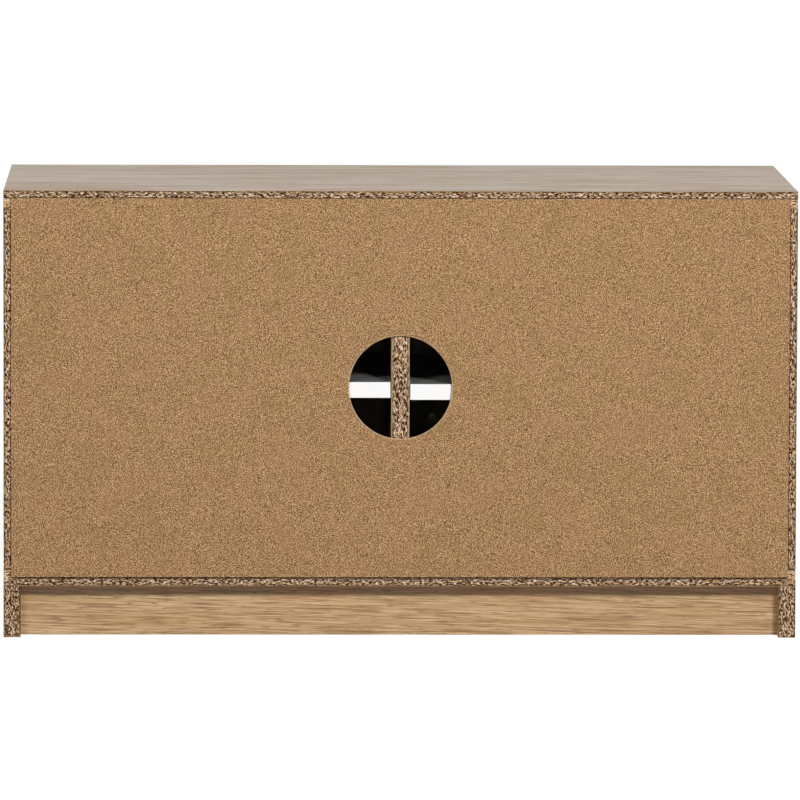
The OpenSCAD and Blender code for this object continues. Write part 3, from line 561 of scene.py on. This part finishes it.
def plated_metal(name, colour, rough, grain_mm):
    """Metal under a thin plating: a fine mottle of slightly duller and brighter crystals."""
    finish, tree = new_finish(name)
    mottle = noise(tree, object_place(tree), size_mm=grain_mm, detail=3, Roughness=0.6)
    tint = remap(tree, mottle, (0.3, 0.7), (0.82, 1))
    tone = blend(tree, 1, srgb(colour), tint, "MULTIPLY")
    dull = remap(tree, mottle, (0.3, 0.7), (rough + 0.08, rough - 0.05))
    relief = embossed(tree, mottle, 0.2, 0.05 * MM)
    finish_with(tree, {"Base Color": tone, "Metallic": 1, "Roughness": dull, "Normal": relief})
    return finish


bright_zinc = plated_metal("zinc_plating", "#c3c4c2", 0.34, 1.6)
plain_steel = plated_metal("nickel_plated_steel", "#c9c5bd", 0.26, 2.5)
for node, shown, finish, slot, width in (
        ("plinth_block_screws", "block_screws", bright_zinc, "zinc", 0.15 * MM),
        ("cam_bolts", "turned_cam_bolts", plain_steel, "steel", 0.2 * MM),
        ("cam_locks", "cast_cams", bright_zinc, "zinc", 0.25 * MM)):
    fitting = joined_copy(node, shown)
    round_arrises(fitting, width)
    fitting.data.materials.append(finish)
    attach(fitting, "cabinet")
    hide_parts(node)

# ---- Shelves ---------------------------------------------------------------------------
# One loose shelf on each side of the divider: chipboard under melamine with white bands
# on all four edges; its faces are painted mid grey, which is painted shade for the dark
# inside of the closed cabinet. Each lies on four plated pins in the rows of holes.


def melamine(name, colour):
    """Plain melamine foil: even, silky, with a very fine pressed pebble."""
    finish, tree = new_finish(name)
    pebble = noise(tree, object_place(tree), size_mm=1.4)
    shade = remap(tree, pebble, (0.3, 0.7), (0.965, 1))
    tone = blend(tree, 1, srgb(colour), shade, "MULTIPLY")
    relief = embossed(tree, pebble, 0.25, 0.04 * MM)
    finish_with(tree, {"Base Color": tone, "Roughness": 0.36, "IOR": 1.5, "Normal": relief})
    return finish


# The grey of the shelf faces is painted shade, as dim as the inside of the closed cabinet.
grey_painted_shade_face = melamine("melamine_painted_shade_grey", "#8c8c8a")
white_edge = melamine("white_edge_band", "#fdfcfb")
for side in ("left", "right"):
    shelf = joined_copy(f"shelf_{side}", f"shelf_board_{side}")
    round_arrises(shelf, 0.1 * MM, steps=1)
    shelf.data.materials.append(grey_painted_shade_face)
    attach(shelf, "cabinet")
    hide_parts(f"shelf_{side}")
    bands = joined_copy(f"shelf_{side}_bands", f"shelf_edging_{side}")
    round_arrises(bands, 0.3 * MM)
    bands.data.materials.append(white_edge)
    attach(bands, "cabinet")
    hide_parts(f"shelf_{side}_bands")
pins = joined_copy("shelf_pins", "shelf_supports")
round_arrises(pins, 0.2 * MM)
pins.data.materials.append(plain_steel)
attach(pins, "cabinet")
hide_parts("shelf_pins")

# ---- Hinge plates, hinge arms and catches ----------------------------------------------
# The fixed half of the door fittings: cast plates screwed to the sides, pressed steel
# arms screwed to the plates, and two magnets in white plastic housings under the top.
white_plastic = moulded_plastic("white_polystyrene", "#e9e8e3")
for node, shown, finish, slot, width in (
        ("hinge_plates", "cast_hinge_plates", bright_zinc, "zinc", 0.4 * MM),
        ("hinge_plate_screws", "plate_screws", bright_zinc, "zinc", 0.15 * MM),
        ("hinge_arms", "pressed_hinge_arms", plain_steel, "steel", 0.35 * MM),
        ("hinge_arm_screws", "arm_screws", plain_steel, "steel", 0.15 * MM),
        ("catch_housings", "catch_cases", white_plastic, "white_plastic", 0.5 * MM),
        ("catch_magnets", "catch_poles", bright_zinc, "zinc", 0.2 * MM),
        ("catch_screws", "catch_fixings", bright_zinc, "zinc", 0.15 * MM)):
    fitting = joined_copy(node, shown)
    round_arrises(fitting, width)
    fitting.data.materials.append(finish)
    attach(fitting, "cabinet")
    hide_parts(node)

# ---- Doors -----------------------------------------------------------------------------
# Two 18 mm doors of chipboard under white melamine with white bands all round. Each
# carries its hinge cups and pins, a bar handle, a steel strike and two clear bumpers.


def brushed_bar(name, along):
    """Satin nickel on drawn steel tube: fine polishing lines in a soft, warm shine."""
    finish, tree = new_finish(name)
    brush = noise(tree, drawn_out(tree, object_place(tree), along, 30, 0.5), detail=3)
    tint = remap(tree, brush, (0.3, 0.7), (0.85, 1))
    tone = blend(tree, 1, srgb("#c2bdb3"), tint, "MULTIPLY")
    dull = remap(tree, brush, (0.3, 0.7), (0.36, 0.26))
    relief = embossed(tree, brush, 0.3, 0.02 * MM)
    finish_with(tree, {"Base Color": tone, "Metallic": 1, "Roughness": dull, "Normal": relief})
    return finish


def clear_rubber_drop(name):
    """Clear polyurethane drop: water-clear with a faint haze, soft to the touch."""
    finish, tree = new_finish(name)
    haze = noise(tree, object_place(tree), size_mm=1.5)
    dull = remap(tree, haze, (0.3, 0.7), (0.12, 0.3))
    tone = tinted(tree, haze, (0.3, "#dfe3e2"), (0.7, "#f1f3f2"))
    finish_with(tree, {"Base Color": tone, "Roughness": dull, "IOR": 1.5,
                       "Transmission Weight": 0.7})
    return finish


white_face = melamine("white_melamine", "#f0efec")
satin_nickel = brushed_bar("satin_nickel", Z)
clear_rubber = clear_rubber_drop("clear_polyurethane")
for side in ("left", "right"):
    for node, shown, finish, slot, width in (
            (f"door_{side}", f"door_board_{side}", white_face, "white_board", 0.1 * MM),
            (f"door_{side}_bands", f"door_edging_{side}", white_edge, "white_band", 0.3 * MM),
            (f"hinge_cups_{side}", f"pressed_cups_{side}", plain_steel, "steel", 0.2 * MM),
            (f"hinge_pins_{side}", f"cup_pins_{side}", plain_steel, "steel", 0.2 * MM),
            (f"cup_screws_{side}", f"cup_fixings_{side}", plain_steel, "steel", 0.15 * MM),
            (f"handle_{side}", f"bar_handle_{side}", satin_nickel, "handle_metal", 0.5 * MM),
            (f"handle_screws_{side}", f"handle_fixings_{side}", plain_steel, "steel", 0.15 * MM),
            (f"bumpers_{side}", f"door_buffers_{side}", clear_rubber, "clear_rubber", 0.8 * MM),
            (f"strike_{side}", f"strike_plate_{side}", plain_steel, "steel", 0.2 * MM),
            (f"strike_screws_{side}", f"strike_fixings_{side}", plain_steel, "steel", 0.15 * MM)):
        part = joined_copy(node, shown)
        round_arrises(part, width)
        part.data.materials.append(finish)
        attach(part, f"door_{side}")
        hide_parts(node)

# ---- Floor, light and camera -----------------------------------------------------------
# A plain white floor and surround, two soft lamps on the camera's side, two on the side of
# the doors, and a long lens that looks at the rear from slightly above.
FLOOR_SIZE = 400
SKY = 0.05


def seen_directly(tree, *more):
    """1 for what the camera or a shiny surface sees, and 0 for the light on the object."""
    rays = add(tree, "LightPath").outputs
    seen = calculate(tree, "MAXIMUM", rays["Is Camera Ray"], rays["Is Glossy Ray"])
    for kind in more:
        seen = calculate(tree, "MAXIMUM", seen, rays[kind])
    return seen


bpy.ops.object.select_all(action="DESELECT")
bpy.ops.mesh.primitive_plane_add(size=FLOOR_SIZE, location=(0, 0, cad_low.z))
floor = bpy.context.active_object
floor.name = "studio_floor"
bpy.ops.object.transform_apply(location=True, rotation=True, scale=True)
paint, tree = new_finish("floor_paint")
# The paint glows more where the lamps reach it less, so that the floor is white all over.
away = add(tree, "VectorMath", {"operation": "LENGTH"}, {0: object_place(tree)}).outputs["Value"]
glow = add(tree, "Emission", inputs={
    "Color": [1, 1, 1, 1], "Strength": remap(tree, away, (1, 4), (0.85, 1))})
nothing = add(tree, "Emission", inputs={"Strength": 0})
glow = add(tree, "MixShader", inputs={0: seen_directly(tree), 1: nothing, 2: glow})
lit = add(tree, "BsdfDiffuse", inputs={"Color": srgb("#a8a8a8")})
lit = add(tree, "AddShader", inputs={0: lit, 1: glow})
add(tree, "OutputMaterial", inputs={"Surface": lit})
floor.data.materials.append(paint)

surround = bpy.data.worlds.new("surround")
bpy.context.scene.world = surround
surround.use_nodes = True
tree = surround.node_tree
tree.nodes.clear()
way = add(tree, "TexCoord").outputs["Generated"]
height = add(tree, "SeparateXYZ", inputs={"Vector": way}).outputs["Z"]
soft = add(tree, "Background", inputs={
    "Color": [1, 1, 1, 1], "Strength": remap(tree, height, (0, 1), (SKY, 0))})
white = add(tree, "Background", inputs={"Color": [1, 1, 1, 1], "Strength": 1})
both = add(tree, "MixShader", inputs={
    0: seen_directly(tree, "Is Transmission Ray"), 1: soft, 2: white})
add(tree, "OutputWorld", inputs={"Surface": both})


def soft_lamp(name, azimuth, elevation, away, power, width):
    """A round soft lamp that looks at the foot of the back. Azimuth 0 is straight out from
    the back, and it grows towards -X."""
    lamp = bpy.data.lights.new(name, "AREA")
    lamp.shape = "DISK"
    lamp.size = width
    lamp.energy = power
    holder = bpy.data.objects.new(name, lamp)
    bpy.context.scene.collection.objects.link(holder)
    turn, rise = math.radians(azimuth), math.radians(elevation)
    way_out = Vector((
        -math.sin(turn) * math.cos(rise), math.cos(turn) * math.cos(rise), math.sin(rise)))
    holder.rotation_mode = "QUATERNION"
    holder.rotation_quaternion = (-way_out).to_track_quat("-Z", "Y")
    holder.location = Vector((0, cad_high.y, 0)) + way_out * away
    holder.visible_glossy = False


soft_lamp("key_lamp", azimuth=15.5, elevation=26.8, away=4.9, power=160, width=0.65)
soft_lamp("side_lamp", azimuth=-18, elevation=26.8, away=4.9, power=60, width=0.65)
soft_lamp("door_lamp_left", azimuth=125, elevation=4, away=6, power=290, width=1.4)
soft_lamp("door_lamp_right", azimuth=235, elevation=4, away=6, power=290, width=1.4)

lens = bpy.data.cameras.new("rear_camera")
lens.sensor_width = 36
lens.lens = 403
lens.clip_start = 0.1
lens.clip_end = 1000
camera = bpy.data.objects.new("rear_camera", lens)
bpy.context.scene.collection.objects.link(camera)
stand = Vector((0.198, 9.2, 1.068))
aim = Vector((0.0005, cad_high.y, 0.241))
roll = Quaternion((0, 0, 1), math.radians(0.18))
camera.location = stand
camera.rotation_mode = "QUATERNION"
camera.rotation_quaternion = (aim - stand).to_track_quat("-Z", "Y") @ roll
bpy.context.scene.camera = camera
bpy.context.scene.view_settings.view_transform = "Standard"
